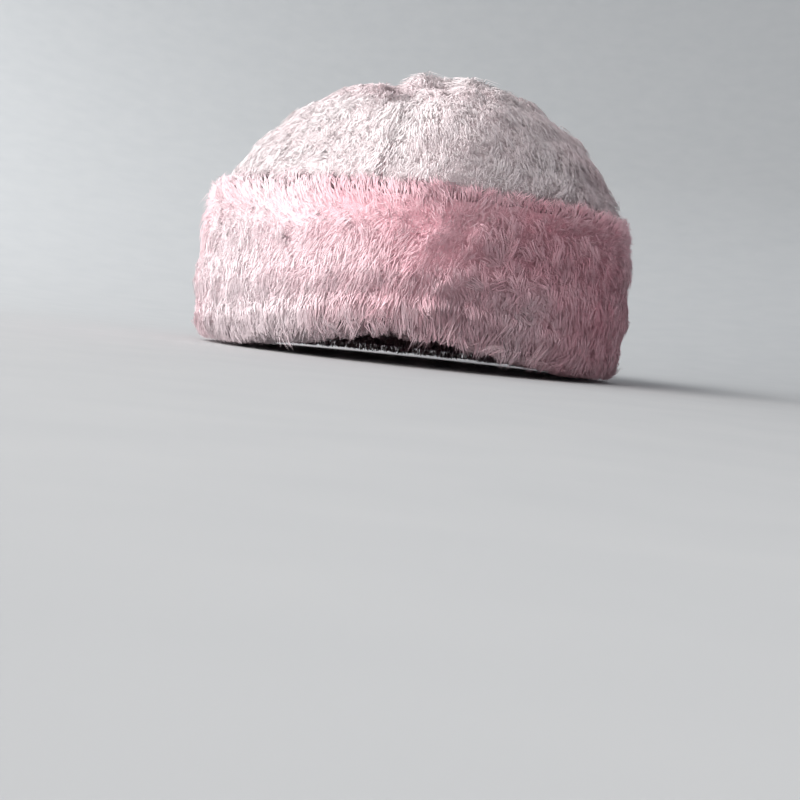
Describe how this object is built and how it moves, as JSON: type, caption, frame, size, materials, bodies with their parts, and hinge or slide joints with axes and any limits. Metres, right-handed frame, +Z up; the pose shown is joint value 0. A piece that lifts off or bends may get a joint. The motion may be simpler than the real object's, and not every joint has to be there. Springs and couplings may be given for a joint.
{
  "type": "plush hat",
  "caption": "Doll-size plush hat: a soft gored crown, puckered at its gathered point, rising from a deep turned-up fur cuff, open below for the head.",
  "frame": {"origin": "middle of the base, on the surface that the rim rests on", "axes": "+Z up through the crown, -Y towards the front of the hat, +X towards the wearer's left; the hat is deepest along Y and lowest along Z"},
  "size_m": [0.1704, 0.1772, 0.1098],
  "materials": {
    "crown_plush": "pale pink deep-pile plush, white-tipped",
    "cuff_plush": "pink deep-pile plush, white-tipped"
  },
  "bodies": {
    "root": {"crown_gore_1": "crown_plush", "crown_gore_2": "crown_plush", "crown_gore_3": "crown_plush", "crown_gore_4": "crown_plush", "cuff": "cuff_plush"}
  },
  "joints": []
}
